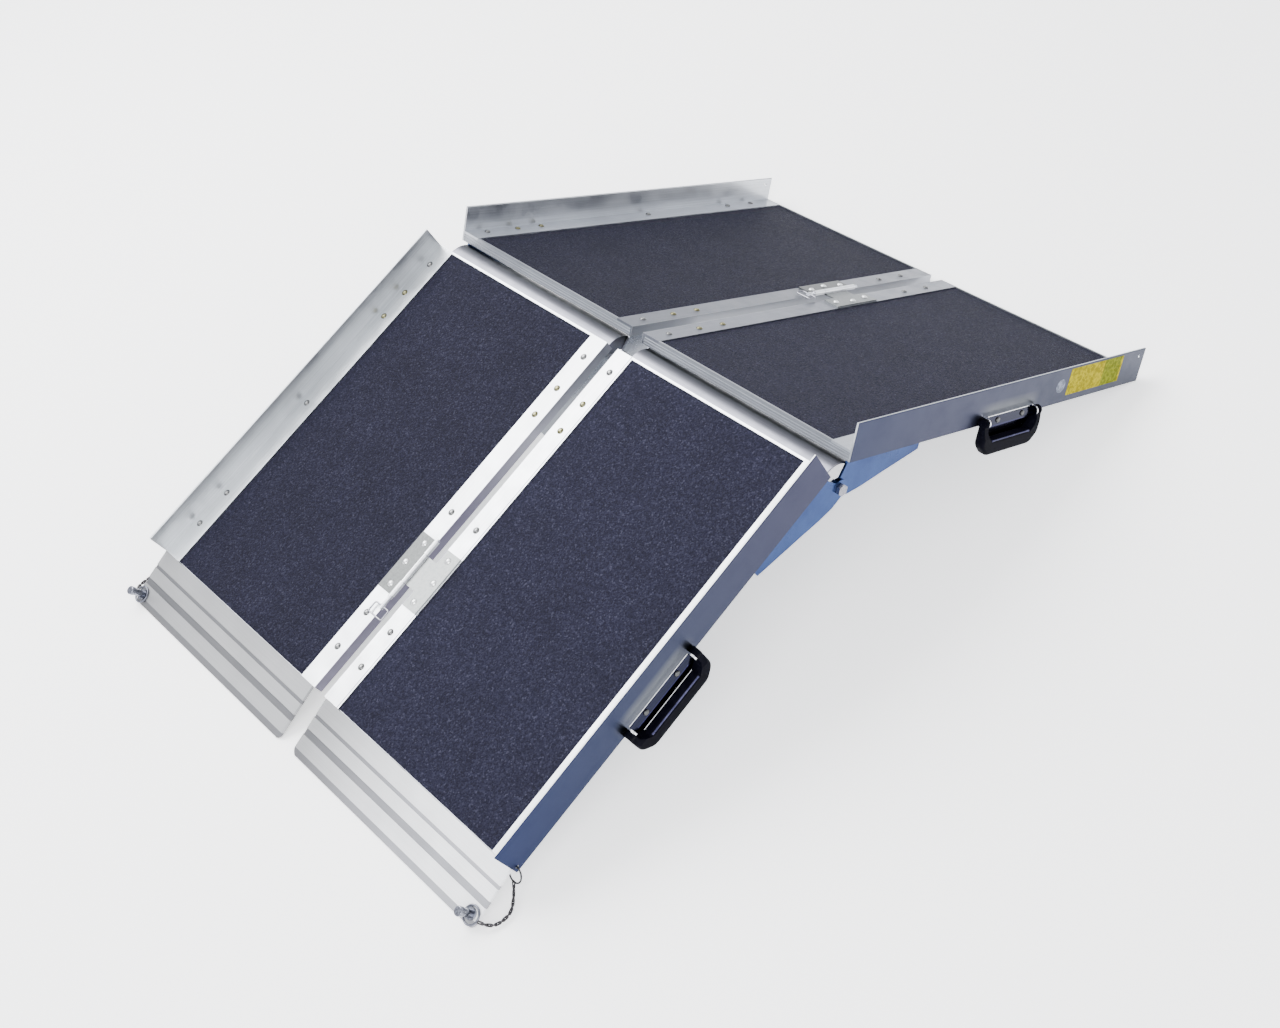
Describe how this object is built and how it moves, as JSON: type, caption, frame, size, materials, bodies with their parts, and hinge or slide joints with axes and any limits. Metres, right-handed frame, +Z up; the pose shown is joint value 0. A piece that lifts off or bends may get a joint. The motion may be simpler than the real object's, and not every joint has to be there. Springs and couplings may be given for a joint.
{
  "type": "portable wheelchair ramp",
  "caption": "Folding aluminium wheelchair ramp standing as a tent: two hinged lanes with grit treads, raised curbs, carrying handles and a bent lip with retaining pins on chains.",
  "frame": {"origin": "centre of the footprint, on the floor the ramp stands on", "axes": "+X from the lip end towards the ground end, +Y from the right lane (label side) to the left lane, +Z up"},
  "size_m": [1.1768, 0.7586, 0.2823],
  "materials": {
    "deck_aluminium": "mill finish, satin",
    "grit": "mineral grit on film, matt with fine sparkle",
    "rail_aluminium": "satin, drawn streaks",
    "beam_aluminium": "satin",
    "gusset_aluminium": "bright, blue film left on",
    "rivet_steel": "plated, domed",
    "mount_chrome": "polished",
    "handle_plastic": "gloss black",
    "leaf_steel": "satin grey",
    "bolt_steel": "dull",
    "lip_aluminium": "satin, grooved",
    "bridge_aluminium": "satin",
    "ring_steel": "bright wire",
    "chain_steel": "dark wire links",
    "pin_steel": "bright plated"
  },
  "bodies": {
    "right_ground": {"right_ground_deck_plate": "deck_aluminium", "right_ground_grit_sheet": "grit", "right_ground_side_rail": "rail_aluminium", "right_ground_centre_rail": "rail_aluminium", "right_ground_end_beam": "beam_aluminium", "right_ground_gussets": "gusset_aluminium", "right_ground_fasteners": "rivet_steel", "right_ground_handle_mount": "mount_chrome", "right_ground_hinge_leaf": "leaf_steel", "right_ground_pivot_bolts": "bolt_steel"},
    "right_landing": {"right_landing_deck_plate": "deck_aluminium", "right_landing_grit_sheet": "grit", "right_landing_side_rail": "rail_aluminium", "right_landing_centre_rail": "rail_aluminium", "right_landing_end_beam": "beam_aluminium", "right_landing_gussets": "gusset_aluminium", "right_landing_fasteners": "rivet_steel", "right_landing_handle_mount": "mount_chrome", "right_landing_hinge_leaf": "leaf_steel", "right_landing_lip_plate": "lip_aluminium", "right_landing_bridge_plate": "bridge_aluminium", "right_landing_split_ring": "ring_steel", "right_landing_lip_chain": "chain_steel"},
    "right_ground_handle": {"right_ground_handle_grip": "handle_plastic"},
    "right_landing_handle": {"right_landing_handle_grip": "handle_plastic"},
    "right_lip_pin": {"right_landing_lip_pin": "pin_steel", "right_landing_lip_ring": "ring_steel"},
    "left_ground": {"left_ground_deck_plate": "deck_aluminium", "left_ground_grit_sheet": "grit", "left_ground_side_rail": "rail_aluminium", "left_ground_centre_rail": "rail_aluminium", "left_ground_end_beam": "beam_aluminium", "left_ground_gussets": "gusset_aluminium", "left_ground_fasteners": "rivet_steel", "left_ground_handle_mount": "mount_chrome", "left_ground_hinge_leaf": "leaf_steel", "left_ground_pivot_bolts": "bolt_steel"},
    "left_landing": {"left_landing_deck_plate": "deck_aluminium", "left_landing_grit_sheet": "grit", "left_landing_side_rail": "rail_aluminium", "left_landing_centre_rail": "rail_aluminium", "left_landing_end_beam": "beam_aluminium", "left_landing_gussets": "gusset_aluminium", "left_landing_fasteners": "rivet_steel", "left_landing_handle_mount": "mount_chrome", "left_landing_hinge_leaf": "leaf_steel", "left_landing_lip_plate": "lip_aluminium", "left_landing_bridge_plate": "bridge_aluminium", "left_landing_split_ring": "ring_steel", "left_landing_lip_chain": "chain_steel"},
    "left_ground_handle": {"left_ground_handle_grip": "handle_plastic"},
    "left_landing_handle": {"left_landing_handle_grip": "handle_plastic"},
    "left_lip_pin": {"left_landing_lip_pin": "pin_steel", "left_landing_lip_ring": "ring_steel"},
    "ground_pin": {"ground_hinge_pin": "pin_steel"},
    "ground_loop": {"ground_pin_loop": "ring_steel"},
    "landing_pin": {"landing_hinge_pin": "pin_steel"},
    "landing_loop": {"landing_pin_loop": "ring_steel"}
  },
  "joints": [
    {"name": "right_fold", "type": "hinge", "parent": "right_ground", "child": "right_landing", "pos_m": [-0.00558, -0.1855, 0.20681], "axis": [0, -1, 0], "range_deg": [-45.6, 131.5]},
    {"name": "left_fold", "type": "hinge", "parent": "left_ground", "child": "left_landing", "pos_m": [-0.00558, 0.1855, 0.20681], "axis": [0, -1, 0], "range_deg": [-45.6, 131.5]},
    {"name": "lane_fold", "type": "hinge", "parent": "right_ground", "child": "left_ground", "pos_m": [0.36671, 0.008, 0.10504], "axis": [0.9208, 0, -0.3901], "range_deg": [0, 174]},
    {"name": "right_ground_handle_swing", "type": "hinge", "parent": "right_ground", "child": "right_ground_handle", "pos_m": [0.28717, -0.3665, 0.12494], "axis": [-0.9208, 0, 0.3901], "range_deg": [0, 100]},
    {"name": "right_landing_handle_swing", "type": "hinge", "parent": "right_landing", "child": "right_landing_handle", "pos_m": [-0.29878, -0.3665, 0.12655], "axis": [-0.9229, 0, -0.385], "range_deg": [0, 100]},
    {"name": "left_ground_handle_swing", "type": "hinge", "parent": "left_ground", "child": "left_ground_handle", "pos_m": [0.28717, 0.3665, 0.12494], "axis": [0.9208, 0, -0.3901], "range_deg": [0, 100]},
    {"name": "left_landing_handle_swing", "type": "hinge", "parent": "left_landing", "child": "left_landing_handle", "pos_m": [-0.29878, 0.3665, 0.12655], "axis": [0.9229, 0, 0.385], "range_deg": [0, 100]},
    {"name": "ground_pin_slide", "type": "slide", "parent": "left_ground", "child": "ground_pin", "axis": [-0.9208, 0, 0.3901], "range_m": [0, 0.09]},
    {"name": "landing_pin_slide", "type": "slide", "parent": "left_landing", "child": "landing_pin", "axis": [-0.9229, 0, -0.385], "range_m": [0, 0.09]},
    {"name": "ground_loop_lift", "type": "hinge", "parent": "ground_pin", "child": "ground_loop", "pos_m": [0.31883, 0.008, 0.12532], "axis": [0, 1, 0], "range_deg": [0, 110]},
    {"name": "landing_loop_lift", "type": "hinge", "parent": "landing_pin", "child": "landing_loop", "pos_m": [-0.41073, 0.008, 0.09362], "axis": [0, 1, 0], "range_deg": [0, 110]},
    {"name": "right_lip_pin_lift", "type": "slide", "parent": "right_landing", "child": "right_lip_pin", "axis": [-0.5511, 0, 0.8344], "range_m": [0, 0.02]},
    {"name": "left_lip_pin_lift", "type": "slide", "parent": "left_landing", "child": "left_lip_pin", "axis": [-0.5511, 0, 0.8344], "range_m": [0, 0.02]}
  ],
  "couplings": [
    {"joint": "left_fold", "follows": "right_fold", "ratio": 1}
  ]
}
